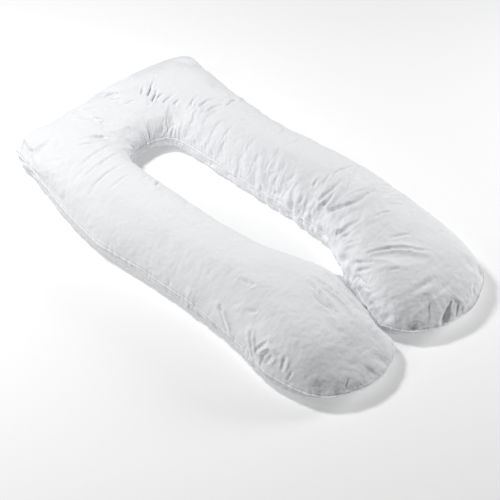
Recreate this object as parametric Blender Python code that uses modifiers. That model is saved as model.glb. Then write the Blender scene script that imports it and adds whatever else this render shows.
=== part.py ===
"""A U-shaped body pillow: two long legs joined by a closed head end, lying on its back.

It is one filled form: a top and a bottom panel of plain white cotton, sewn together edge to edge
all round in a knife-edge seam. Metres, +Z up. The head end is at +Y, the two rounded foot ends
are at -Y. The underside is flat at Z = 0 where the filling rests on the surface.
"""

from collections import namedtuple

import bmesh
import bpy

# Driving sizes.
LENGTH = 1.53                 # head end to foot ends
DRAWN_LENGTH = 1.555          # the length that the table of sections below gives
SCALE = LENGTH / DRAWN_LENGTH
PLAN_CENTRE = (0.0, -0.0055)  # middle of the drawn outline, brought to X = Y = 0
SEAM_SHARPNESS = 1.0          # 1 keeps the sewn edge a crisp line
SMOOTHING_LEVELS = 2

# Where the lines that run along the pillow lie: the share of the way from the outer seam to the
# inner one, and the share of the rise from the seam to the crown.
Line = namedtuple("Line", "across rise")
TOP_LINES = (
    Line(0.085, 0.66),
    Line(0.31, 1.04),
    Line(0.69, 1.04),
    Line(0.915, 0.66),
)
# The same for the underside, whose lines all lie on the surface. The two outermost run a little
# outside the seam, so that the wall below the seam is a full one.
BOTTOM_LINES = (-0.01, 0.30, 0.70, 1.01)

# One row for each section across the pillow, from the tip of the left leg up to the head end and
# down to the tip of the right leg. Outer and inner are the two seam points of the section, crown is
# its greatest height, seam the height of the sewn edge, lean moves the crown to the outer (-) or
# the inner (+) side.
Section = namedtuple("Section", "name outer inner crown seam lean")
SECTIONS = (
    Section("left tip", (-0.352, -0.732), (-0.070, -0.732), 0.046, 0.046, 0.0),
    Section("left end", (-0.384, -0.683), (-0.046, -0.692), 0.106, 0.045, 0.0),
    Section("left foot", (-0.401, -0.635), (-0.048, -0.640), 0.138, 0.046, 0.0),
    Section("left leg, end bulge", (-0.416, -0.540), (-0.019, -0.545), 0.154, 0.048, 0.0),
    Section("left leg, low", (-0.391, -0.400), (0.032, -0.425), 0.160, 0.050, -0.02),
    Section("left leg, neck", (-0.380, -0.230), (-0.066, -0.255), 0.163, 0.053, 0.0),
    Section("left leg, middle", (-0.396, -0.020), (-0.100, -0.040), 0.160, 0.054, 0.02),
    Section("left leg, bulge", (-0.427, 0.190), (-0.104, 0.175), 0.164, 0.055, 0.02),
    Section("left leg, high", (-0.407, 0.385), (-0.106, 0.345), 0.165, 0.055, 0.0),
    Section("left leg, top", (-0.375, 0.540), (-0.102, 0.415), 0.162, 0.055, 0.0),
    Section("left corner, side", (-0.352, 0.645), (-0.078, 0.448), 0.152, 0.054, 0.0),
    Section("left corner", (-0.338, 0.744), (-0.050, 0.462), 0.146, 0.052, 0.0),
    Section("left corner, top", (-0.268, 0.764), (-0.028, 0.466), 0.144, 0.054, 0.0),
    Section("head end, left", (-0.140, 0.752), (-0.008, 0.467), 0.138, 0.055, -0.06),
    Section("head end, middle", (0.030, 0.767), (0.012, 0.467), 0.134, 0.055, -0.08),
    Section("head end, right", (0.190, 0.776), (0.032, 0.466), 0.140, 0.055, -0.06),
    Section("right corner, top", (0.328, 0.762), (0.054, 0.460), 0.146, 0.055, 0.0),
    Section("right corner", (0.436, 0.746), (0.078, 0.446), 0.150, 0.056, 0.0),
    Section("right corner, side", (0.421, 0.668), (0.098, 0.422), 0.156, 0.055, 0.0),
    Section("right leg, top", (0.404, 0.560), (0.106, 0.385), 0.160, 0.055, 0.0),
    Section("right leg, high", (0.386, 0.380), (0.108, 0.310), 0.158, 0.055, 0.0),
    Section("right leg, neck", (0.382, 0.170), (0.112, 0.135), 0.158, 0.055, 0.02),
    Section("right leg, middle", (0.416, -0.070), (0.122, -0.075), 0.162, 0.055, 0.02),
    Section("right leg, bulge", (0.416, -0.260), (0.122, -0.270), 0.165, 0.054, 0.0),
    Section("right leg, low", (0.408, -0.415), (0.046, -0.412), 0.163, 0.053, 0.0),
    Section("right leg, end bulge", (0.404, -0.545), (-0.015, -0.548), 0.155, 0.050, 0.0),
    Section("right foot", (0.387, -0.645), (-0.041, -0.640), 0.138, 0.046, 0.0),
    Section("right end", (0.363, -0.700), (-0.018, -0.686), 0.106, 0.045, 0.0),
    Section("right tip", (0.322, -0.734), (0.008, -0.724), 0.046, 0.046, 0.0),
)
TIP_BULGE = 0.055             # how far the sewn edge of a foot end runs past its two corners
TIP_SHARES = (0.0, 0.2, 0.4, 0.6, 0.8, 1.0)

COTTON = (0.86, 0.87, 0.89, 1.0)
COTTON_ROUGHNESS = 0.85


def plan(point):
    """A point of the table as X and Y of the finished pillow."""
    return tuple((a - middle) * SCALE for a, middle in zip(point, PLAN_CENTRE))


def between(section, share):
    """The plan point that lies this share of the way from the outer to the inner seam."""
    outer, inner = plan(section.outer), plan(section.inner)
    return tuple(a + (b - a) * share for a, b in zip(outer, inner))


def tip_row(section):
    """The sewn edge round a foot end, with the lines of the top panel meeting it."""
    row = []
    for share in TIP_SHARES:
        x, y = between(section, share)
        bulge = TIP_BULGE * SCALE * 4.0 * share * (1.0 - share)
        row.append((x, y - bulge, section.seam * SCALE))
    return row


def top_row(section):
    """The line of points over the top of a section, from the outer seam to the inner one."""
    low, rise = section.seam * SCALE, (section.crown - section.seam) * SCALE
    row = [(*between(section, 0.0), low)]
    for line in TOP_LINES:
        share = line.across + section.lean * 4.0 * line.across * (1.0 - line.across)
        row.append((*between(section, share), low + rise * line.rise))
    return row + [(*between(section, 1.0), low)]


def bottom_row(section):
    """The points under a section, all on the surface that the pillow lies on."""
    return [(*between(section, share), 0.0) for share in BOTTOM_LINES]


def clear_scene():
    for thing in list(bpy.data.objects):
        bpy.data.objects.remove(thing, do_unlink=True)


def cotton_material():
    material = bpy.data.materials.new("white cotton")
    material.use_nodes = True
    shader = material.node_tree.nodes["Principled BSDF"]
    shader.inputs["Base Color"].default_value = COTTON
    shader.inputs["Roughness"].default_value = COTTON_ROUGHNESS
    shader.inputs["Metallic"].default_value = 0.0
    return material


def bridge(form, lower, upper):
    """Quads between two rows of points that run the same way."""
    for i in range(len(lower) - 1):
        form.faces.new((lower[i], lower[i + 1], upper[i + 1], upper[i]))


def pillow_cage():
    """A coarse closed cage: rows of quads for each panel, which share the sewn edge."""
    form = bmesh.new()
    tops, bottoms = [], []
    for section in SECTIONS:
        tip = section in (SECTIONS[0], SECTIONS[-1])
        top = [form.verts.new(p) for p in (tip_row(section) if tip else top_row(section))]
        under = top[1:-1] if tip else [form.verts.new(p) for p in bottom_row(section)]
        tops.append(top)
        bottoms.append([top[0], *under, top[-1]])
    for rows in (tops, bottoms):
        for lower, upper in zip(rows, rows[1:]):
            bridge(form, lower, upper)
    bmesh.ops.recalc_face_normals(form, faces=form.faces)

    sharpness = form.edges.layers.float.new("crease_edge")
    seam = {row[0] for row in tops} | {row[-1] for row in tops} | set(tops[0]) | set(tops[-1])
    for edge in form.edges:
        if edge.verts[0] in seam and edge.verts[1] in seam:
            edge[sharpness] = SEAM_SHARPNESS
    return form


def build():
    clear_scene()
    parts = bpy.data.collections.new("body pillow")
    bpy.context.scene.collection.children.link(parts)

    form = pillow_cage()
    mesh = bpy.data.meshes.new("pillow")
    form.to_mesh(mesh)
    form.free()
    mesh.shade_smooth()
    pillow = bpy.data.objects.new("pillow", mesh)
    pillow.data.materials.append(cotton_material())
    parts.objects.link(pillow)

    smooth = pillow.modifiers.new("soft form", "SUBSURF")
    smooth.levels = SMOOTHING_LEVELS
    smooth.render_levels = SMOOTHING_LEVELS


build()
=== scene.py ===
"""The looks of a U-shaped body pillow: two filled legs and a closed head end, lying on its back.

Metres, +Z up. The head end is at +Y and the two rounded foot ends are at -Y, as in the CAD. The two
panels are one closed form that shares the sewn edge. A cloth simulation fills it, and then it gets
the folds, dents and puckers of a used pillow.
"""

import math
import random
from collections import namedtuple

import bmesh
import bpy
import numpy as np
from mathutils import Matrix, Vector, kdtree, noise
from mathutils.bvhtree import BVHTree


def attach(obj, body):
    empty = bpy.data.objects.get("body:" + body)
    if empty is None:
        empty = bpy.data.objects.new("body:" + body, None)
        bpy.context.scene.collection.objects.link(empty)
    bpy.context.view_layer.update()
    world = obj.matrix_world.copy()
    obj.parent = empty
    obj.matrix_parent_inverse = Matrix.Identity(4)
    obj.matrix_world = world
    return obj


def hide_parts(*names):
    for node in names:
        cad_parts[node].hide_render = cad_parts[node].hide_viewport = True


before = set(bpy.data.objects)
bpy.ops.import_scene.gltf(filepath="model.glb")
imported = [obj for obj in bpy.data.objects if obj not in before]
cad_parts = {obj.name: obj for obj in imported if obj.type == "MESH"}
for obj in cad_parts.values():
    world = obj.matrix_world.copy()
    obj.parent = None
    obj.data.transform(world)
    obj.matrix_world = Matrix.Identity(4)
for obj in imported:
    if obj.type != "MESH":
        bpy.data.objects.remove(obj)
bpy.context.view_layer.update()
MM = 0.001

# --- The form ---------------------------------------------------------------------------------

LENGTH = 1.53                 # head end to foot ends
DRAWN_LENGTH = 1.555          # the length that the table of sections below gives
SCALE = LENGTH / DRAWN_LENGTH
PLAN_CENTRE = (0.0, -0.0055)  # middle of the drawn outline, brought to X = Y = 0
CAGE_LEVELS = 5               # of smoothing

# Where the lines that run along the pillow lie: the share of the way from the outer seam to the
# inner one, and the share of the rise from the seam to the crown.
Line = namedtuple("Line", "across rise")
TOP_LINES = (
    Line(0.085, 0.66),
    Line(0.30, 1.03),
    Line(0.50, 1.025),
    Line(0.70, 1.03),
    Line(0.915, 0.66),
)
BOTTOM_LINES = (-0.01, 0.30, 0.50, 0.70, 1.01)

# From the tip of the left leg up to the head end and down to the tip of the right leg. Outer and
# inner are the two seam points of a section, and lean moves the crown to the outer (-) or the inner
# (+) side.
Section = namedtuple("Section", "outer inner crown seam lean")
SECTIONS = (
    Section((-0.352, -0.732), (-0.070, -0.732), 0.046, 0.046, 0.0),
    Section((-0.384, -0.683), (-0.046, -0.692), 0.106, 0.045, 0.0),
    Section((-0.401, -0.635), (-0.048, -0.640), 0.138, 0.046, 0.0),
    Section((-0.416, -0.540), (-0.019, -0.545), 0.154, 0.048, 0.0),
    Section((-0.391, -0.400), (0.032, -0.425), 0.160, 0.050, -0.02),
    Section((-0.380, -0.230), (-0.066, -0.255), 0.163, 0.053, 0.0),
    Section((-0.396, -0.020), (-0.100, -0.040), 0.160, 0.054, 0.02),
    Section((-0.427, 0.190), (-0.104, 0.175), 0.164, 0.055, 0.02),
    Section((-0.407, 0.385), (-0.106, 0.345), 0.165, 0.055, 0.0),
    Section((-0.375, 0.540), (-0.102, 0.415), 0.162, 0.055, 0.0),
    Section((-0.352, 0.645), (-0.078, 0.448), 0.152, 0.054, 0.0),
    Section((-0.338, 0.744), (-0.050, 0.462), 0.146, 0.052, 0.0),
    Section((-0.268, 0.764), (-0.028, 0.466), 0.144, 0.054, 0.0),
    Section((-0.140, 0.752), (-0.008, 0.467), 0.138, 0.055, -0.06),
    Section((0.030, 0.767), (0.012, 0.467), 0.134, 0.055, -0.08),
    Section((0.190, 0.776), (0.032, 0.466), 0.140, 0.055, -0.06),
    Section((0.328, 0.762), (0.054, 0.460), 0.146, 0.055, 0.0),
    Section((0.436, 0.746), (0.078, 0.446), 0.150, 0.056, 0.0),
    Section((0.421, 0.668), (0.098, 0.422), 0.156, 0.055, 0.0),
    Section((0.404, 0.560), (0.106, 0.385), 0.160, 0.055, 0.0),
    Section((0.386, 0.380), (0.108, 0.310), 0.158, 0.055, 0.0),
    Section((0.382, 0.170), (0.112, 0.135), 0.158, 0.055, 0.02),
    Section((0.416, -0.070), (0.122, -0.075), 0.162, 0.055, 0.02),
    Section((0.416, -0.260), (0.122, -0.270), 0.165, 0.054, 0.0),
    Section((0.408, -0.415), (0.046, -0.412), 0.163, 0.053, 0.0),
    Section((0.404, -0.545), (-0.015, -0.548), 0.155, 0.050, 0.0),
    Section((0.387, -0.645), (-0.041, -0.640), 0.138, 0.046, 0.0),
    Section((0.361, -0.696), (-0.018, -0.686), 0.106, 0.045, 0.0),
    Section((0.317, -0.733), (0.008, -0.724), 0.046, 0.046, 0.0),
)
TIP_BULGE = 0.055  # how far the sewn edge of a foot end runs past its two corners

# The mesh that the simulation fills. It is doubled afterwards.
ROW_STEP = 5.2 * MM    # between its rows, along the pillow
COLUMNS = 72           # from seam to seam
EDGE_STEPS = (0.0, 1.5, 3.5, 6.5, 10.0)  # mm from the seam, where it is finest
EDGE_SHARE = 0.2       # of a short row, the most that these steps take up
BLOCK = 4              # cells along each side of a large face of the flat underside
FLAT = 0.25 * MM       # the cloth lies on the surface below this height
LOW = 2 * MM           # and below this one it is made of large faces


def between(section, share):
    """The plan point that lies this share of the way from the outer to the inner seam."""
    outer, inner = (
        [(a - middle) * SCALE for a, middle in zip(point, PLAN_CENTRE)]
        for point in (section.outer, section.inner)
    )
    return tuple(a + (b - a) * share for a, b in zip(outer, inner))


def tip_row(section):
    """The sewn edge round a foot end, which the lines of both panels meet."""
    row = []
    for share in np.linspace(0, 1, len(TOP_LINES) + 2):
        x, y = between(section, share)
        bulge = TIP_BULGE * SCALE * 4.0 * share * (1.0 - share)
        row.append((x, y - bulge, section.seam * SCALE))
    return row


def top_row(section):
    low, rise = section.seam * SCALE, (section.crown - section.seam) * SCALE
    row = [(*between(section, 0.0), low)]
    for line in TOP_LINES:
        share = line.across + section.lean * 4.0 * line.across * (1.0 - line.across)
        row.append((*between(section, share), low + rise * line.rise))
    return row + [(*between(section, 1.0), low)]


def bottom_row(section):
    return [(*between(section, share), 0.0) for share in BOTTOM_LINES]


def pillow_cage():
    """A coarse closed cage: rows of quads for each panel, which share the sewn edge."""
    form = bmesh.new()
    along = form.verts.layers.float.new("along")
    across = form.verts.layers.float.new("across")
    grids = ([], [])
    for i, section in enumerate(SECTIONS):
        tip = section in (SECTIONS[0], SECTIONS[-1])
        top = [form.verts.new(p) for p in (tip_row(section) if tip else top_row(section))]
        under = top[1:-1] if tip else [form.verts.new(p) for p in bottom_row(section)]
        grids[0].append(top)
        grids[1].append([top[0], *under, top[-1]])
        for row in (grids[0][-1], grids[1][-1]):
            for j, vertex in enumerate(row):
                vertex[along], vertex[across] = i, j
    panel = form.faces.layers.int.new("panel")
    for which, rows in enumerate(grids):
        for lower, upper in zip(rows, rows[1:]):
            for j in range(len(lower) - 1):
                face = form.faces.new((lower[j], lower[j + 1], upper[j + 1], upper[j]))
                face[panel] = which
    sharpness = form.edges.layers.float.new("crease_edge")
    tops = grids[0]
    seam = {row[0] for row in tops} | {row[-1] for row in tops} | set(tops[0]) | set(tops[-1])
    for edge in form.edges:
        if edge.verts[0] in seam and edge.verts[1] in seam:
            edge[sharpness] = 1.0
    return form


def values_of(items, name, count, kind=float):
    values = np.empty(count, np.float32 if kind is float else np.int32)
    items.foreach_get(name, values)
    return values


def evaluated_mesh(thing):
    graph = bpy.context.evaluated_depsgraph_get()
    return bpy.data.meshes.new_from_object(thing.evaluated_get(graph))


def points_of(mesh):
    return values_of(mesh.vertices, "co", len(mesh.vertices) * 3).astype(float).reshape(-1, 3)


def normals_of(mesh):
    return values_of(mesh.vertices, "normal", len(mesh.vertices) * 3).astype(float).reshape(-1, 3)


def place_points(mesh, points):
    mesh.vertices.foreach_set("co", np.asarray(points, np.float32).ravel())
    mesh.update()


def add_object(name, data):
    thing = bpy.data.objects.new(name, data)
    bpy.context.scene.collection.objects.link(thing)
    return thing


def smooth_grids():
    """The smoothed cage as two grids of points, rows by columns: the top and the bottom panel."""
    form = pillow_cage()
    mesh = bpy.data.meshes.new("cage")
    form.to_mesh(mesh)
    form.free()
    thing = add_object("cage", mesh)
    smooth = thing.modifiers.new("soft form", "SUBSURF")
    smooth.levels = smooth.render_levels = CAGE_LEVELS
    fine = evaluated_mesh(thing)
    bpy.data.objects.remove(thing)

    count, parts = len(fine.vertices), 2 ** CAGE_LEVELS
    points = points_of(fine)
    row = np.rint(values_of(fine.attributes["along"].data, "value", count) * parts).astype(int)
    column = np.rint(values_of(fine.attributes["across"].data, "value", count) * parts).astype(int)
    panel = values_of(fine.attributes["panel"].data, "value", len(fine.polygons), int)
    of_corner = np.repeat(panel, values_of(fine.polygons, "loop_total", len(fine.polygons), int))
    corner = values_of(fine.loops, "vertex_index", len(fine.loops), int)
    grids = []
    for which in (0, 1):
        used = np.unique(corner[of_corner == which])
        grid = np.zeros((row.max() + 1, column.max() + 1, 3))
        grid[row[used], column[used]] = points[used]
        grids.append(grid)
    bpy.data.meshes.remove(fine)
    return grids


def lengths_along(lines):
    """How far each point of each line lies along it, for an array of lines by points."""
    steps = np.linalg.norm(np.diff(lines, axis=1), axis=2)
    return np.concatenate([np.zeros((len(lines), 1)), np.cumsum(steps, axis=1)], axis=1)


def spacing(length, count):
    """Distances from 0 to length: the fine steps at both ends, even steps between them."""
    edge = np.array(EDGE_STEPS) * MM
    edge = edge * min(1.0, EDGE_SHARE * length / edge[-1])
    middle = np.linspace(edge[-1], length - edge[-1], count + 3 - 2 * len(edge))
    return np.concatenate([edge[:-1], middle, length - edge[-2::-1]])


def at_row(grid, places):
    """The rows of a grid at these fractional row numbers."""
    low = np.clip(np.floor(places).astype(int), 0, len(grid) - 2)
    part = (places - low)[:, None, None]
    return grid[low] * (1 - part) + grid[low + 1] * part


def even_panels():
    """The two panels again, with the rows and columns spaced for folds and puckers."""
    top, bottom = smooth_grids()
    middle = top.shape[1] // 2
    run = lengths_along(top.transpose(1, 0, 2))[[0, middle, -1]].mean(axis=0)
    wanted = spacing(run[-1], BLOCK * round(run[-1] / ROW_STEP / BLOCK))
    places = np.interp(wanted, run, np.arange(len(run)))
    panels = []
    for grid in (top, bottom):
        rows = at_row(grid, places)
        reach = lengths_along(rows)
        even = np.empty((len(rows), COLUMNS + 1, 3))
        for row, new, at in zip(rows, even, reach):
            share = spacing(at[-1], COLUMNS)
            new[:] = np.stack([np.interp(share, at, row[:, k]) for k in range(3)], axis=1)
        panels.append(even)
    return sewn(*panels)


def sewn(top, bottom):
    """The two panels with one common edge."""
    bottom[:, [0, -1]] = top[:, [0, -1]]
    bottom[[0, -1]] = top[[0, -1]]
    return top, bottom


def doubled(grid):
    """A panel with a new row and column halfway between every two, on the same smooth surface."""
    for _ in range(2):
        ends = np.concatenate([2 * grid[:1] - grid[1:2], grid, 2 * grid[-1:] - grid[-2:-1]])
        middle = (9 * (ends[1:-2] + ends[2:-1]) - ends[:-3] - ends[3:]) / 16
        finer = np.empty((2 * len(grid) - 1, *grid.shape[1:]))
        finer[::2], finer[1::2] = grid, middle
        grid = finer.transpose(1, 0, 2)
    return grid


def flat_cut(grid):
    """Where each point of a panel lies in the flat cloth, with its rows laid out at true length."""
    half = grid.shape[1] // 2
    reach = lengths_along(grid)
    reach -= reach[:, half : half + 1]
    cross = grid[:, -1, :2] - grid[:, 0, :2]
    cross /= np.linalg.norm(cross, axis=1, keepdims=True)
    steps = np.diff(grid[:, half], axis=0)
    plan = steps[:, :2] / np.maximum(np.linalg.norm(steps[:, :2], axis=1, keepdims=True), 1e-9)
    walk = plan * np.linalg.norm(steps, axis=1, keepdims=True)
    spine = np.concatenate([np.zeros((1, 2)), np.cumsum(walk, axis=0)])
    return spine[:, None, :] + cross[:, None, :] * reach[:, :, None]


def cells(part):
    """The four corners of every cell of a grid of vertex numbers."""
    return np.stack([part[:-1, :-1], part[:-1, 1:], part[1:, 1:], part[1:, :-1]], axis=2)


def numbered(top, bottom):
    """The vertex numbers of the two panels, which share those of the edge, and the points."""
    rows, columns = top.shape[:2]
    of_top = np.arange(rows * columns).reshape(rows, columns)
    of_bottom = of_top.copy()
    inner = (rows - 2, columns - 2)
    of_bottom[1:-1, 1:-1] = (rows * columns + np.arange(math.prod(inner))).reshape(inner)
    points = np.concatenate([top.reshape(-1, 3), bottom[1:-1, 1:-1].reshape(-1, 3)])
    return of_top, of_bottom, points


class Cover:
    """The two panels sewn together as one mesh, while the cloth is being shaped."""

    def __init__(self, top, bottom):
        self.of_top, self.of_bottom, self.start = numbered(top, bottom)
        small = [cells(self.of_top).reshape(-1, 4), cells(self.of_bottom).reshape(-1, 4)[:, ::-1]]
        self.mesh = bpy.data.meshes.new("cover")
        self.mesh.from_pydata(self.start.tolist(), [], np.concatenate(small).tolist())
        self.mesh.update()
        self.flat = self.start[:, 2] < FLAT
        self.flat[self.of_top] = False
        self.loop = rim(self.of_top)

    def panels(self, points):
        return points[self.of_top], points[self.of_bottom]


def rim(index):
    """The vertex numbers along the sewn edge, once round."""
    return np.concatenate([index[:, 0], index[-1, 1:], index[-2::-1, -1], index[0, -2:0:-1]])


def plain_block(index, i, j, fine):
    """One face over a block of cells, with every vertex along a side that meets fine cells."""
    low, right = i * BLOCK, j * BLOCK
    sides = (
        (index[low, right : right + BLOCK], (i - 1, j)),
        (index[low : low + BLOCK, right + BLOCK], (i, j + 1)),
        (index[low + BLOCK, right + BLOCK : right : -1], (i + 1, j)),
        (index[low + BLOCK : low : -1, right], (i, j - 1)),
    )
    return [v for side, beyond in sides for v in (side if fine[beyond] else side[:1]).tolist()]


def panel_faces(index, grid):
    """Small faces where the cloth curves, and large ones where it lies flat on the surface."""
    small = cells(index)
    height = grid[:, :, 2]
    blocks = (small.shape[0] // BLOCK, small.shape[1] // BLOCK)
    fine = np.array([[
        height[i * BLOCK : (i + 1) * BLOCK + 1, j * BLOCK : (j + 1) * BLOCK + 1].max() > LOW
        for j in range(blocks[1])] for i in range(blocks[0])
    ])
    faces = []
    for i, j in np.ndindex(*blocks):
        if fine[i, j]:
            part = small[i * BLOCK : (i + 1) * BLOCK, j * BLOCK : (j + 1) * BLOCK]
            faces.extend(part.reshape(-1, 4).tolist())
        else:
            faces.append(plain_block(index, i, j, fine))
    return faces


def cover_mesh(top, bottom):
    """The finished cover: one closed mesh, with each panel's flat cut as its UV map."""
    of_top, of_bottom, points = numbered(top, bottom)
    faces = panel_faces(of_top, top)
    count = len(faces)
    faces += [face[::-1] for face in panel_faces(of_bottom, bottom)]
    used = np.unique(np.concatenate([np.array(face) for face in faces]))
    place = np.full(len(points), -1)
    place[used] = np.arange(len(used))
    mesh = bpy.data.meshes.new("pillow_cover")
    mesh.from_pydata(points[used].tolist(), [], [place[face].tolist() for face in faces])
    cuts = np.zeros((2, len(points), 2))
    cuts[0, of_top] = flat_cut(top)
    cuts[1, of_bottom] = flat_cut(bottom)
    cloth = mesh.uv_layers.new(name="cut cloth")
    laid = [cuts[int(i >= count)][face] for i, face in enumerate(faces)]
    cloth.data.foreach_set("uv", np.concatenate(laid).astype(np.float32).ravel())
    mesh.update()
    return mesh


# --- Folds and dents --------------------------------------------------------------------------

# Where the camera stands: degrees round the object and above the surface, the point it looks at,
# how far away it is in metres, and its lens and picture.
CAMERA_TURN, CAMERA_RISE = -43.0, 42.3
CAMERA_AIM = (-0.05658, -0.10036, 0.0)
CAMERA_AWAY = 4.28990
CAMERA_LENS, SENSOR = 100.8, 36.0   # mm
PICTURE = 500                       # pixels across and down

# Each fold follows a line through points of the picture, across and down, which the camera's view
# lays on the cloth. A tooth is deepest near its first point and runs out to nothing, a valley is
# deepest in the middle, a ridge stands up, and a hollow is a wedge that narrows to its last point.
# Depth and width in mm.
Fold = namedtuple("Fold", "kind depth width line")
FOLDS = (
    # inner side of the right leg
    ("tooth", 4, 6, ((313, 186), (319, 176))),
    ("tooth", 3, 6, ((322, 184), (330, 174))),
    ("valley", 3, 5, ((331, 178), (337, 172), (345, 169), (356, 167))),
    ("tooth", 11, 9, ((317, 201), (326, 193), (334, 187), (345, 178))),
    ("tooth", 7, 6, ((322, 206), (330, 199), (338, 189))),
    ("tooth", 13, 10, ((325, 212), (334, 208), (345, 205), (358, 200), (374, 192))),
    ("valley", 4, 7, ((352, 194), (365, 190), (378, 185), (388, 183))),
    ("tooth", 5, 6, ((337, 220), (343, 216), (352, 212))),
    ("tooth", 12, 9, ((335, 234), (342, 230), (352, 223), (362, 218), (370, 216))),
    ("valley", 3, 5, ((372, 219), (383, 214), (394, 212))),
    ("tooth", 8, 6, ((340, 238), (347, 235), (356, 229))),
    ("tooth", 8, 6, ((345, 245), (351, 242), (363, 240))),
    ("valley", 2, 4, ((366, 241), (375, 238), (383, 229), (391, 222))),
    ("valley", 3, 8, ((386, 239), (400, 236), (414, 235))),
    ("valley", 6, 6, ((353, 255), (366, 255), (378, 250), (395, 248), (412, 249), (428, 254))),
    ("valley", 3, 4, ((362, 249), (377, 247))),
    ("valley", 2, 6, ((404, 253), (418, 251), (432, 252))),
    ("tooth", 9, 7, ((354, 262), (366, 263), (380, 264), (394, 266))),
    ("tooth", 5, 6, ((355, 272), (370, 269), (386, 266))),
    ("tooth", 6, 8, ((357, 277), (364, 284), (374, 286))),
    ("valley", 4, 4, ((362, 287), (373, 290))),
    ("valley", 3, 5, ((384, 296), (398, 302))),
    ("valley", 2, 5, ((388, 271), (402, 269))),
    # far side of the right leg
    ("tooth", 3, 5, ((393, 190), (380, 192))),
    ("tooth", 3, 5, ((408, 199), (388, 198))),
    ("tooth", 2, 5, ((404, 205), (384, 204))),
    ("tooth", 5, 9, ((466, 244), (455, 246))),
    ("tooth", 4, 7, ((237, 99), (218, 110))),
    ("tooth", 3, 5, ((238, 99), (230, 103))),
    ("tooth", 4, 7, ((258, 113), (237, 117))),
    ("tooth", 4, 7, ((287, 128), (278, 135))),
    ("tooth", 4, 7, ((306, 138), (289, 146))),
    # right foot
    ("valley", 4, 14, ((405, 297), (420, 288), (438, 277))),
    ("ridge", 3, 10, ((408, 319), (428, 304), (450, 288))),
    ("hollow", 14, 17, ((445, 322), (448, 313), (451, 299))),
    ("hollow", 7, 17, ((415, 328), (417, 320))),
    ("valley", 3, 5, ((456, 320), (459, 303))),
    # head end
    ("tooth", 13, 8, ((119, 95), (111, 93), (104, 97), (101, 102))),
    ("tooth", 11, 9, ((133, 80), (123, 82), (114, 86))),
    ("ridge", 6, 7, ((103, 99), (114, 99), (124, 96))),
    ("tooth", 5, 8, ((100, 121), (85, 121), (70, 120), (52, 120))),
    ("tooth", 6, 5, ((101, 120), (88, 118))),
    ("valley", 7, 7, ((97, 110), (85, 109), (75, 112), (64, 116))),
    ("tooth", 8, 8, ((108, 136), (94, 137), (82, 140), (66, 144))),
    ("valley", 3, 6, ((100, 143), (86, 144), (72, 149))),
    ("valley", 4, 8, ((114, 143), (100, 150), (88, 159), (76, 170))),
    ("valley", 4, 8, ((121, 153), (106, 160), (92, 170), (80, 182))),
    ("valley", 4, 9, ((127, 163), (114, 169), (100, 179), (88, 191))),
    ("valley", 3, 8, ((133, 172), (118, 182), (104, 195))),
    ("tooth", 7, 5, ((142, 95), (143, 89), (146, 84))),
    ("tooth", 10, 5, ((147, 97), (150, 90), (154, 82), (156, 77))),
    ("tooth", 9, 5, ((152, 101), (156, 94), (158, 86))),
    ("tooth", 6, 5, ((156, 99), (163, 93), (166, 88))),
    ("tooth", 7, 6, ((163, 102), (170, 96), (178, 90))),
    ("tooth", 6, 5, ((174, 104), (181, 97))),
    ("tooth", 6, 5, ((190, 106), (193, 100), (197, 94))),
    ("tooth", 7, 6, ((198, 107), (207, 101), (218, 98))),
    ("tooth", 5, 6, ((205, 112), (216, 106), (230, 103))),
    ("valley", 2, 9, ((42, 166), (60, 160), (78, 158))),
    ("valley", 3, 7, ((120, 107), (132, 101), (140, 99))),
    # left leg
    ("tooth", 6, 8, ((159, 181), (154, 188))),
    ("valley", 2, 7, ((150, 176), (138, 181))),
    ("tooth", 4, 5, ((191, 202), (181, 200))),
    ("tooth", 3, 4, ((220, 223), (213, 219))),
    ("tooth", 5, 6, ((231, 227), (226, 231))),
    ("tooth", 3, 6, ((257, 243), (246, 240))),
    ("tooth", 4, 9, ((257, 286), (246, 282), (235, 277), (226, 270))),
    ("tooth", 4, 9, ((258, 312), (247, 311), (238, 307))),
    ("tooth", 6, 5, ((188, 203), (196, 207))),
    ("valley", 8, 5, ((218, 304), (222, 314), (226, 324), (230, 334))),
    ("ridge", 5, 4, ((221, 305), (225, 315), (229, 325), (232, 333))),
    ("tooth", 8, 5, ((190, 310), (191, 301), (190, 294))),
    ("tooth", 6, 5, ((203, 320), (199, 312), (193, 303))),
    ("tooth", 6, 5, ((217, 330), (212, 322), (206, 318))),
    # the bend of the left leg
    ("valley", 8, 5, ((250, 330), (251, 338), (252, 347), (253, 354), (255, 360))),
    ("ridge", 6, 4, ((253, 331), (254, 340), (255, 349), (255, 357))),
    ("valley", 6, 5, ((270, 341), (262, 346), (257, 350), (255, 353))),
    ("ridge", 8, 8, ((257, 356), (262, 351), (268, 348), (274, 350), (279, 356))),
    ("valley", 6, 7, ((265, 352), (262, 357), (260, 364), (260, 371))),
    ("valley", 5, 6, ((274, 354), (269, 359), (266, 365))),
    ("ridge", 4, 6, ((278, 356), (274, 362), (269, 367))),
    ("valley", 5, 6, ((286, 355), (284, 363), (281, 373))),
    ("ridge", 4, 6, ((290, 357), (288, 365), (285, 374))),
    ("valley", 3, 6, ((294, 369), (289, 377), (285, 383))),
    ("valley", 2, 5, ((344, 388), (350, 377))),
    # inner shoulder of the left leg
    ("valley", 7, 7, ((310, 276), (326, 287), (337, 295), (353, 313))),
    ("ridge", 5, 8, ((313, 282), (332, 294), (345, 306), (356, 320))),
    ("valley", 6, 7, ((306, 280), (322, 296), (331, 306), (342, 321))),
    ("ridge", 6, 8, ((326, 280), (350, 300), (366, 316), (376, 330))),
    ("valley", 7, 7, ((324, 272), (341, 288), (352, 297), (369, 315))),
    ("valley", 4, 7, ((308, 290), (322, 304), (330, 310), (341, 324))),
)
FOLDS = tuple(Fold(*values) for values in FOLDS)
SAMPLE_STEP = 1.5 * MM   # between the points along a fold
WAVE_LENGTH, WAVE = 0.03, 1.5   # of the small waves along it, in metres and in mm
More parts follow.
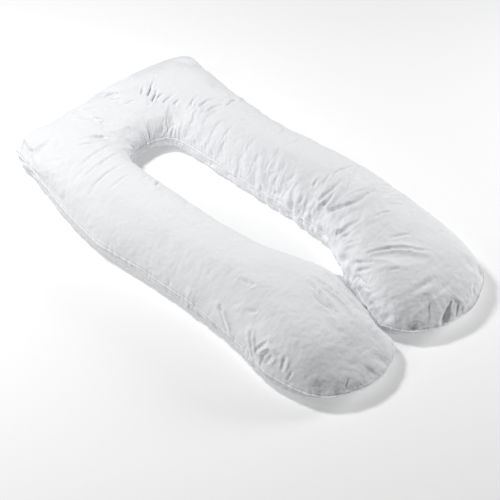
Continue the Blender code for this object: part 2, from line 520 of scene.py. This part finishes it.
NARROWEST = 3.8          # mm, the least width that the fine mesh can follow
WAVE_SEED = 41
noise.seed_set(WAVE_SEED)   # or the clock would set the waves of the folds

# Shares of a fold's length over which it deepens and runs out again.
TOOTH_RISE, TOOTH_FALL = 0.12, 0.85
VALLEY_RISE = 0.35
HOLLOW_FALL = 0.6
# The cloth raised beside a fold: a share of its depth, and its place and reach in the fold's widths.
SHOULDER, SHOULDER_AT, SHOULDER_REACH = 0.30, 2.1, 0.9
# How far from a fold the cloth moves at all, and how far it has spare cloth: a number of its widths
# and then some more.
REACH_WIDTHS, REACH_MORE = 4, 25 * MM
SPARE_WIDTHS, SPARE_MORE = 2.2, 8 * MM
FULL_DEPTH = 8           # mm, from which a fold counts fully as spare cloth


def smooth_step(value):
    value = np.clip(value, 0, 1)
    return value * value * (3 - 2 * value)


def camera_turned():
    """The camera's place and the way it is turned."""
    turn, rise = math.radians(CAMERA_TURN), math.radians(CAMERA_RISE)
    back = Vector((
        math.sin(turn) * math.cos(rise), -math.cos(turn) * math.cos(rise), math.sin(rise)
    ))
    return Vector(CAMERA_AIM) + back * CAMERA_AWAY, (-back).to_track_quat("-Z", "Y")


def fold_lines(panels):
    """For every fold, the points of the cloth that the camera sees along its line."""
    cover = Cover(*panels)
    surface = surface_of(cover.mesh, cover.start)
    place, turned = camera_turned()
    lines = []
    for fold in FOLDS:
        aims = ((np.array(fold.line) / PICTURE - 0.5) * SENSOR / CAMERA_LENS).tolist()
        seen = [surface.ray_cast(place, turned @ Vector((x, -y, -1)))[0] for x, y in aims]
        lines.append([point for point in seen if point])
    return lines


def sampled(line, surface, seed):
    """A line over the cloth as close points on it, a little wavy."""
    corners = np.array(line)
    run = np.concatenate([[0], np.cumsum(np.linalg.norm(np.diff(corners, axis=0), axis=1))])
    count = max(4, int(run[-1] / SAMPLE_STEP))
    even = np.linspace(0, run[-1], count)
    points = np.stack([np.interp(even, run, corners[:, k]) for k in range(3)], axis=1)
    for _ in range(max(1, count // 8)):
        points[1:-1] = (points[:-2] + points[1:-1] * 2 + points[2:]) / 4
    laid = []
    for at, point in zip(even, points):
        wander = noise.noise_vector(Vector((at / WAVE_LENGTH, seed * 7.3, 0.5))) * WAVE * MM
        laid.append(surface.find_nearest(Vector(point) + wander)[0])
    return np.array(laid), even / run[-1]


def fold_profile(kind, offset, along):
    """How far in (-) or out (+) a fold moves the cloth, as a share of its depth."""
    if kind == "hollow":
        wedge = np.exp(-np.abs(offset / (1.05 - along)) ** 3)
        return -wedge * smooth_step((1 - along) / HOLLOW_FALL)
    tooth = kind == "tooth"
    rise = smooth_step(along / (TOOTH_RISE if tooth else VALLEY_RISE))
    fall = smooth_step((1 - along) / (TOOTH_FALL if tooth else VALLEY_RISE))
    groove = np.exp(-np.abs(offset) ** 1.5)
    shoulder = SHOULDER * np.exp(-((np.abs(offset) - SHOULDER_AT) / SHOULDER_REACH) ** 2)
    return (groove if kind == "ridge" else shoulder - groove) * rise * fall


def fold_shift(points, normals, surface, lines, share, narrowing):
    """The shift of every point along its normal from all the folds, and how near it is to one."""
    shift = np.zeros(len(points))
    near = np.zeros(len(points))
    for seed, (fold, line) in enumerate(zip(FOLDS, lines)):
        if len(line) < 2:
            continue
        samples, along = sampled(line, surface, seed)
        width = max(fold.width * narrowing, NARROWEST) * MM
        reach = REACH_WIDTHS * width + REACH_MORE
        low, high = samples.min(axis=0) - reach, samples.max(axis=0) + reach
        chosen = np.flatnonzero(((points > low) & (points < high)).all(axis=1))
        gap = points[chosen][:, None, :] - samples[None, :, :]
        square = (gap ** 2).sum(axis=2)
        nearest = square.argmin(axis=1)
        far = np.sqrt(square[np.arange(len(chosen)), nearest])
        depth = fold.depth * MM * share
        shift[chosen] += depth * fold_profile(fold.kind, far / width, along[nearest])
        spare = np.exp(-(far / (SPARE_WIDTHS * width + SPARE_MORE)) ** 2)
        near[chosen] = np.maximum(near[chosen], min(1.0, fold.depth / FULL_DEPTH) * spare)
    return shift, near


def surface_of(mesh, points):
    faces = [tuple(face.vertices) for face in mesh.polygons]
    return BVHTree.FromPolygons([Vector(point) for point in points], faces)


# --- Filling ----------------------------------------------------------------------------------

FILL_FRAMES = 20
EASE_MOST = -0.035   # how much longer the cloth is where it lies in folds
GATHER = 0.02        # how much the seam thread draws in the sewn edge
EASE_LEVELS = 64     # the fineness of the weights for both
THREAD_REACH = 6 * MM
PRESSURE = 0.8
LUMP_SIZE, LUMPS = 0.05, 1.5   # of the filling, before it is pressed in: metres and mm
BROAD_STEPS = 110    # of averaging, which leave the broad swelling
BROAD_CAP, FINE_CAP = 2 * MM, 9 * MM   # the most that the swelling and the folds move the cloth
SEED_SHARE = 0.45    # of a fold's depth, laid in before the filling
CRISP_SHARE, CRISP_WIDTH = 0.8, 0.55   # of its depth and width, drawn on the filled form
HEM = 12 * MM        # beside the sewn edge, where the folds run out
SMOOTH_LEG = 0.15    # of the folds kept on the left leg, whose cloth is stretched smooth
SEAM_KEPT, SEAM_REACH = 0.35, 0.03   # of the folds kept at the sewn edge, and how far in they grow
MEETING = (-0.66, -0.40)  # from here to here along Y the legs lie against each other
MEETING_POINTS = 60
CLEAR = 0.8 * MM     # from each leg to the line where they meet


def edges_of(mesh):
    return values_of(mesh.edges, "vertices", len(mesh.edges) * 2, int).reshape(-1, 2)


def averaged(values, edges, times):
    """Values on the vertices, smoothed along the edges."""
    count = len(values)
    a, b = edges[:, 0], edges[:, 1]
    degree = np.bincount(a, minlength=count) + np.bincount(b, minlength=count)
    for _ in range(times):
        total = np.stack([
            np.bincount(a, values[b, k], count) + np.bincount(b, values[a, k], count)
            for k in range(values.shape[1])
        ], axis=1)
        values = 0.5 * values + 0.5 * total / degree[:, None]
    return values


def capped(moves, most):
    far = np.maximum(np.linalg.norm(moves, axis=1, keepdims=True), 1e-9)
    return moves * np.tanh(far / most) * most / far


def seam_distance(points, line):
    """Each point's distance from the sewn edge, its place along that edge, and the edge's length."""
    steps = np.linalg.norm(np.diff(line, axis=0, append=line[:1]), axis=1)
    run = np.concatenate([[0], np.cumsum(steps)[:-1]])
    tree = kdtree.KDTree(len(line))
    for i, point in enumerate(line):
        tree.insert(Vector(point), i)
    tree.balance()
    found = [tree.find(Vector(point)) for point in points]
    return np.array([f[2] for f in found]), run[[f[1] for f in found]], steps.sum()


def simulated(cover, lines):
    """The points once the panels have swollen and folded as filled cloth does, and how near each
    one is to a fold. The flat underside is held."""
    start, mesh = cover.start, cover.mesh
    normals = normals_of(mesh)
    shift, near = fold_shift(start, normals, surface_of(mesh, start), lines, SEED_SHARE, 1.0)
    distance, _, _ = seam_distance(start, start[cover.loop])
    shift = shift * smooth_step(distance / HEM) + cloudy(start, LUMP_SIZE) * LUMPS * MM
    place_points(mesh, start + normals * np.where(cover.flat, 0, shift)[:, None])

    thing = add_object("filling", mesh)
    held = thing.vertex_groups.new(name="held")
    held.add(np.flatnonzero(cover.flat).tolist(), 1.0, "REPLACE")
    ease = thing.vertex_groups.new(name="ease")
    neutral = EASE_MOST / (EASE_MOST - GATHER)
    weight = neutral * (1 - np.maximum(over_the_legs(start, SPARE), near))
    thread = np.exp(-(distance / THREAD_REACH) ** 2)
    weight = np.rint(np.clip(weight * (1 - thread) + thread, 0, 1) * EASE_LEVELS).astype(int)
    for level in np.unique(weight):
        ease.add(np.flatnonzero(weight == level).tolist(), level / EASE_LEVELS, "REPLACE")

    cloth = thing.modifiers.new("cloth", "CLOTH")
    s = cloth.settings
    s.quality = 5
    s.mass = 0.3
    s.tension_stiffness = s.compression_stiffness = 30
    s.shear_stiffness = 10
    s.bending_stiffness = 0.05
    s.tension_damping = s.compression_damping = s.shear_damping = 5
    s.air_damping = 1.0
    s.use_pressure = True
    s.uniform_pressure_force = PRESSURE
    s.vertex_group_mass = "held"
    s.vertex_group_shrink = "ease"
    s.shrink_min, s.shrink_max = EASE_MOST, GATHER
    s.effector_weights.gravity = 0.0
    cloth.collision_settings.use_collision = False
    cloth.point_cache.frame_start, cloth.point_cache.frame_end = 1, FILL_FRAMES
    scene = bpy.context.scene
    for step in range(1, FILL_FRAMES + 1):
        scene.frame_set(step)
    result = evaluated_mesh(thing)
    filled = points_of(result)
    bpy.data.meshes.remove(result)
    scene.frame_set(1)
    bpy.data.objects.remove(thing)
    return filled, near


# Where the right leg, the head end and the foot of the left leg begin, and over how much they blend.
RIGHT_FROM, RIGHT_BLEND = -0.02, 0.10
HEAD_FROM, HEAD_BLEND = 0.30, 0.20
FOOT_FROM, FOOT_BLEND = -0.35, 0.15

# Spare cloth away from the folds, and how deep its small dents are in mm: everywhere, then what the
# left foot adds, and what the right leg and the head end add.
SPARE = (0.05, 0.05, 0.17)
DENTS = (0.9, 0.2, 0.1)
DENT_SIZES = ((0.026, 1.0), (0.013, 0.45))   # the size of the dents and their share


def leg_shares(points):
    """How much each point belongs to the right leg or the head end, and to the left foot."""
    x, y = points[:, 0], points[:, 1]
    right = smooth_step((x - RIGHT_FROM) / RIGHT_BLEND)
    head = smooth_step((y - HEAD_FROM) / HEAD_BLEND)
    return np.maximum(right, head), smooth_step((FOOT_FROM - y) / FOOT_BLEND) * (1 - right)


def over_the_legs(points, amounts):
    everywhere, at_foot, at_creased = amounts
    creased, foot = leg_shares(points)
    return everywhere + at_foot * foot + at_creased * creased


def cloudy(points, size):
    return np.array([noise.noise(Vector(point) / size) for point in points])


def crumpled(points):
    """How far small angular dents draw in the cloth, in metres."""
    dents = sum(share * (0.5 - 2 * abs(cloudy(points, size))) for size, share in DENT_SIZES)
    return over_the_legs(points, DENTS) * MM * dents


def fill(top, bottom, lines):
    """The filled panels, with the broad swelling and the folds of the simulation held in bounds."""
    cover = Cover(top, bottom)
    filled, near = simulated(cover, lines)
    moved = filled - cover.start
    broad = averaged(moved, edges_of(cover.mesh), BROAD_STEPS)
    distance, _, _ = seam_distance(cover.start, cover.start[cover.loop])
    creased, foot = leg_shares(cover.start)
    kept = np.maximum(SMOOTH_LEG + (1 - SMOOTH_LEG) * np.maximum(creased, 0.5 * foot), near)
    kept *= SEAM_KEPT + (1 - SEAM_KEPT) * smooth_step(distance / SEAM_REACH)
    fine = capped(moved - broad, FINE_CAP) * kept[:, None]
    return cover.panels(cover.start + capped(broad, BROAD_CAP) + fine)


# The short puckers along the sewn edge: least and most, in mm.
PUCKER_SEED = 41
PUCKER_STEP = (9, 32)
PUCKER_WIDTH = (2.2, 5.0)
PUCKER_LENGTH = (14, 55)
PUCKER_DEPTH = (0.6, 2.6)
PUCKER_SLANT = (-0.35, 0.35)   # along the edge for each mm away from it
PUCKER_SPREAD = 25 * MM        # from the edge, where a pucker is twice as wide


def puckers(distance, along, around):
    """How far the puckers along the sewn edge draw the cloth in."""
    draws = random.Random(PUCKER_SEED)
    depth_at = np.zeros(len(distance))
    at = 0.0
    while at < around:
        at += draws.uniform(*PUCKER_STEP) * MM
        width = draws.uniform(*PUCKER_WIDTH) * MM
        length = draws.uniform(*PUCKER_LENGTH) * MM
        depth = draws.uniform(*PUCKER_DEPTH) * MM
        slant = draws.uniform(*PUCKER_SLANT)
        off = (along - at - slant * distance + around / 2) % around - around / 2
        chosen = np.flatnonzero((distance < length) & (np.abs(off) < 5 * width))
        wide = width * (1 + distance[chosen] / PUCKER_SPREAD)
        groove = np.exp(-np.abs(off[chosen] / wide) ** 1.6)
        depth_at[chosen] -= depth * groove * (1 - distance[chosen] / length) ** 1.3
    return depth_at


# Where the cloth is drawn together into many small folds that run out from one edge: from and to
# along the pillow, in metres from the tip of the left leg, then the depth, how far apart they are and
# how far they reach, in mm, and how much they lean towards the right foot at both ends.
Gather = namedtuple("Gather", "edge begin end depth pitch reach leans")
GATHERS = (
    Gather("inner", 1.25, 1.80, 7.0, 30, 170, (0.2, -0.2)),
    Gather("inner", 1.75, 2.45, 8.0, 30, 150, (0.3, -0.4)),
    Gather("inner", 2.30, 2.80, 12.0, 30, 240, (-0.4, 0.1)),
    Gather("inner", 2.60, 3.20, 10.0, 30, 240, (-0.1, 0.8)),
    Gather("inner", 2.30, 3.15, 28.0, 62, 120, (-0.4, 0.7)),
    Gather("inner", 1.25, 1.80, 12.0, 70, 150, (0.1, -0.1)),
    Gather("outer", 1.90, 2.90, 4.0, 18, 70, (0.2, -0.2)),
    Gather("outer", 1.35, 1.95, 4.0, 20, 80, (0.2, -0.2)),
)


GATHER_ENDS = 0.2            # of a stretch, over which its folds begin and run out
GATHER_WAVE = 0.006          # how far the folds wander from a straight line
WAVE_SIZES = (0.05, 0.04)    # of that wander, along the edge and away from it
GATHER_MEAN = 0.25           # of the noise that makes them, taken away from it
FINER, FINER_SHARE = 2.3, 0.4   # the smaller folds between them: how many more, and how deep
CHANGE, FINER_CHANGE = 0.09, 0.05   # over which they change, away from the edge
GATHER_FALL = 1.7            # how soon they run out: 1 is evenly
GATHER_GROWTH = 0.025        # from the edge, over which they grow


def gathers(grid):
    """How far the small folds draw in each point of a panel."""
    reach = lengths_along(grid)
    half = grid.shape[1] // 2
    run = lengths_along(grid[None, :, half])[0]
    draw = np.zeros(grid.shape[:2])
    for seed, gather in enumerate(GATHERS):
        share = (run - gather.begin) / (gather.end - gather.begin)
        fade = smooth_step(share / GATHER_ENDS) * smooth_step((1 - share) / GATHER_ENDS)
        lean = gather.leans[0] + (gather.leans[1] - gather.leans[0]) * np.clip(share, 0, 1)
        for i in np.flatnonzero(fade > 0):
            away = reach[i] if gather.edge == "outer" else reach[i, -1] - reach[i]
            for j in np.flatnonzero(away < gather.reach * MM):
                at = run[i] - lean[i] * away[j]
                place = Vector((at / WAVE_SIZES[0], away[j] / WAVE_SIZES[1], 9.0 + seed))
                wander = noise.noise(place) * GATHER_WAVE
                spot = Vector(((at + wander) / (gather.pitch * MM), away[j] / CHANGE, 3.7 * seed))
                fine = Vector((spot.x * FINER + 5, away[j] / FINER_CHANGE, spot.z))
                fold = abs(noise.noise(spot)) - GATHER_MEAN
                fold += FINER_SHARE * (abs(noise.noise(fine)) - GATHER_MEAN)
                strength = fade[i] * (1 - away[j] / (gather.reach * MM)) ** GATHER_FALL
                strength *= SEAM_KEPT + (1 - SEAM_KEPT) * min(1.0, away[j] / GATHER_GROWTH)
                draw[i, j] += fold * strength * gather.depth * MM
    return draw


# The sewn edge: its lip, and the groove beside it where the stitches hold the cloth down.
LIP, LIP_WIDTH = 0.5, 1.2 * MM
GROOVE, GROOVE_AT, GROOVE_WIDTH = 1.3, 4 * MM, 2.2 * MM
SWELL_SIZE, SWELL = 0.075, 1.5        # of the uneven filling under the cloth: metres and mm
DENTS_FROM = 0.02                     # from the sewn edge, where the dents are full


def finish_form(top, bottom, lines):
    """The crisp lines of the folds, the puckers and the sewn edge, laid on the filled form."""
    cover = Cover(top, bottom)
    folded = np.zeros(len(cover.start))
    folded[cover.of_bottom] = gathers(bottom)
    folded[cover.of_top] = gathers(top)
    free = ~cover.flat
    points = cover.start[free]
    normals = normals_of(cover.mesh)[free]
    surface = surface_of(cover.mesh, cover.start)
    shift, _ = fold_shift(points, normals, surface, lines, CRISP_SHARE, CRISP_WIDTH)
    distance, along, around = seam_distance(points, cover.start[cover.loop])
    shift *= smooth_step(distance / HEM)
    shift += puckers(distance, along, around) + folded[free]
    uneven = cloudy(points, SWELL_SIZE) * SWELL * MM - crumpled(points)
    shift += uneven * smooth_step(distance / DENTS_FROM)
    lip = np.exp(-(distance / LIP_WIDTH) ** 2)
    groove = np.exp(-((distance - GROOVE_AT) / GROOVE_WIDTH) ** 2)
    shift += (LIP * lip - GROOVE * groove) * MM
    finished = cover.start.copy()
    finished[free] += normals * shift[:, None]
    finished[:, 2] = np.maximum(finished[:, 2], 0)
    finished[cover.flat, 2] = 0
    return kept_apart(*cover.panels(finished))


def kept_apart(top, bottom):
    """Where the two legs meet, their inner walls press on each other along one line."""
    half = len(top) // 2
    left, right = top[:half, -1], top[half:, -1][::-1]
    places = np.linspace(*MEETING, MEETING_POINTS)
    order_left, order_right = np.argsort(left[:, 1]), np.argsort(right[:, 1])
    x_left = np.interp(places, left[order_left, 1], left[order_left, 0])
    x_right = np.interp(places, right[order_right, 1], right[order_right, 0])
    middle = (x_left + x_right) / 2
    for grid in (top, bottom):
        for rows, side in ((grid[:half], -1), (grid[half:], 1)):
            near = (rows[:, :, 1] > MEETING[0]) & (rows[:, :, 1] < MEETING[1])
            limit = np.interp(rows[near][:, 1], places, middle) + side * CLEAR
            x = rows[near][:, 0]
            rows[near, 0] = np.minimum(x, limit) if side < 0 else np.maximum(x, limit)
    return top, bottom


# --- Finish -----------------------------------------------------------------------------------

class Amount:
    """A socket in shader maths: an operation on it adds the Math node for it."""

    def __init__(self, finish, socket):
        self.finish, self.socket = finish, socket

    def math(self, operation, a, b=None):
        given = {0: a} if b is None else {0: a, 1: b}
        return self.finish.amount("ShaderNodeMath", {"operation": operation}, given)

    def __add__(self, other):
        return self.math("ADD", self, other)

    def __radd__(self, other):
        return self.math("ADD", other, self)

    def __sub__(self, other):
        return self.math("SUBTRACT", self, other)

    def __rsub__(self, other):
        return self.math("SUBTRACT", other, self)

    def __mul__(self, other):
        return self.math("MULTIPLY", self, other)

    def __rmul__(self, other):
        return self.math("MULTIPLY", other, self)

    def __abs__(self):
        return self.math("ABSOLUTE", self)


class Finish:
    """A material and the one way its nodes are made."""

    def __init__(self, name):
        self.material = bpy.data.materials.new(name)
        self.material.use_nodes = True
        self.tree = self.material.node_tree
        self.shader = self.tree.nodes["Principled BSDF"]

    def node(self, kind, settings=None, given=None):
        """A node with its settings, then the values or links of its sockets."""
        made = self.tree.nodes.new(kind)
        for name, value in (settings or {}).items():
            setattr(made, name, value)
        self.set(made, given or {})
        return made

    def set(self, made, given):
        for name, value in given.items():
            if isinstance(value, Amount):
                value = value.socket
            if isinstance(value, bpy.types.NodeSocket):
                self.tree.links.new(value, made.inputs[name])
            else:
                made.inputs[name].default_value = value

    def amount(self, kind, settings=None, given=None):
        return Amount(self, self.node(kind, settings, given).outputs[0])


THREAD = 0.42 * MM   # from one thread of the weave to the next
WEAVE, CRINKLE, CREASE, SOFT = 0.03 * MM, 1.0 * MM, 1.6 * MM, 1.6 * MM   # heights of the bump
BUMP_STRENGTH = 0.8
SHADED_WHITE, BRIGHT_WHITE = (0.845, 0.855, 0.875, 1), (0.895, 0.90, 0.912, 1)
SMOOTHEST, ROUGHER = 0.78, 0.12
FIRST_COLOUR, SECOND_COLOUR, MIXED_COLOUR = 6, 7, 2   # the Mix node's sockets for colours
FLOOR_WHITE, FLOOR_GLOW = (0.85, 0.85, 0.85, 1), 0.2
FLOOR_SIZE, FLOOR_GAP = 40, 0.5 * MM


def cotton():
    """Cool white percale: a fine plain weave, slightly crinkled, with soft uneven fibres below."""
    finish = Finish("white cotton")
    place = finish.node("ShaderNodeTexCoord").outputs["Object"]
    cloth = finish.node("ShaderNodeUVMap", {"uv_map": "cut cloth"}).outputs["UV"]

    def cloud(scale, detail=2.0, rough=0.5):
        return finish.amount(
            "ShaderNodeTexNoise", None,
            {"Vector": place, "Scale": scale, "Detail": detail, "Roughness": rough},
        )

    split = finish.node("ShaderNodeSeparateXYZ", None, {"Vector": cloth})
    turn = 2 * math.pi / THREAD
    warp = Amount(finish, split.outputs["X"]) * turn
    weft = Amount(finish, split.outputs["Y"]) * turn
    weave = warp.math("SINE", warp) * weft.math("SINE", weft)

    crinkle = cloud(95.0, detail=3.0, rough=0.6)
    creased = abs(cloud(38.0) - 0.5)
    soft = cloud(17.0, detail=1.0)
    height = weave * WEAVE + crinkle * CRINKLE - creased * CREASE + soft * SOFT
    bump = finish.node(
        "ShaderNodeBump", None, {"Height": height, "Distance": 1.0, "Strength": BUMP_STRENGTH}
    )
    tone = cloud(7.0, detail=3.0, rough=0.55)
    colour = finish.node(
        "ShaderNodeMix", {"data_type": "RGBA"},
        {"Factor": tone, FIRST_COLOUR: SHADED_WHITE, SECOND_COLOUR: BRIGHT_WHITE},
    )
    rough = cloud(30.0) * ROUGHER + SMOOTHEST
    finish.set(finish.shader, {
        "Base Color": colour.outputs[MIXED_COLOUR],
        "Roughness": rough,
        "Normal": bump.outputs["Normal"],
        "Sheen Weight": 0.12,
        "Sheen Roughness": 0.45,
        "Specular IOR Level": 0.25,
    })
    return finish.material


# --- Scene ------------------------------------------------------------------------------------

# Each lamp's place round the pillow (degrees from the head end towards the right leg), its height
# in degrees, its size across in metres and its power in watts.
Lamp = namedtuple("Lamp", "name turn rise size power")
LAMPS = (
    Lamp("main", 330, 58, 0.7, 68),
    Lamp("side", 292, 40, 0.8, 9),
    Lamp("foot", 122, 20, 1.0, 46),
)
LAMP_AWAY = 3.2                       # metres from the middle of the pillow
SKY, SKY_STRENGTH = (0.97, 0.98, 1.0, 1), 0.15


def add_lamp(lamp):
    light = bpy.data.lights.new(lamp.name, "AREA")
    light.shape = "DISK"
    light.size, light.energy = lamp.size, lamp.power
    thing = add_object(lamp.name, light)
    turn, rise = math.radians(lamp.turn), math.radians(lamp.rise)
    out = Vector((math.sin(turn) * math.cos(rise), math.cos(turn) * math.cos(rise), math.sin(rise)))
    thing.location = out * LAMP_AWAY
    thing.rotation_euler = (-out).to_track_quat("-Z", "Y").to_euler()


def add_floor():
    bpy.ops.mesh.primitive_plane_add(size=FLOOR_SIZE, location=(0, 0, -FLOOR_GAP))
    floor = bpy.context.object
    floor.name = "floor"
    finish = Finish("pale floor")
    finish.set(finish.shader, {
        "Base Color": FLOOR_WHITE,
        "Roughness": 0.9,
        "Specular IOR Level": 0.0,
        "Emission Color": (1, 1, 1, 1),
        "Emission Strength": FLOOR_GLOW,
    })
    floor.data.materials.append(finish.material)


def add_camera():
    data = bpy.data.cameras.new("camera")
    data.lens, data.sensor_width = CAMERA_LENS, SENSOR
    camera = add_object("camera", data)
    camera.location, turned = camera_turned()
    camera.rotation_euler = turned.to_euler()
    bpy.context.scene.camera = camera


def studio():
    scene = bpy.context.scene
    scene.view_settings.view_transform = "Standard"
    scene.world = bpy.data.worlds.new("studio")
    scene.world.use_nodes = True
    sky = scene.world.node_tree.nodes["Background"]
    sky.inputs["Color"].default_value = SKY
    sky.inputs["Strength"].default_value = SKY_STRENGTH
    for lamp in LAMPS:
        add_lamp(lamp)


def build():
    panels = even_panels()
    lines = fold_lines(panels)
    panels = fill(*panels, lines)
    panels = finish_form(*(doubled(panel) for panel in panels), lines)
    mesh = cover_mesh(*panels)
    mesh.shade_smooth()
    mesh.materials.append(cotton())
    pillow = add_object("pillow_cover", mesh)
    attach(pillow, "root")
    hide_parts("pillow")


build()
add_floor()
studio()
add_camera()
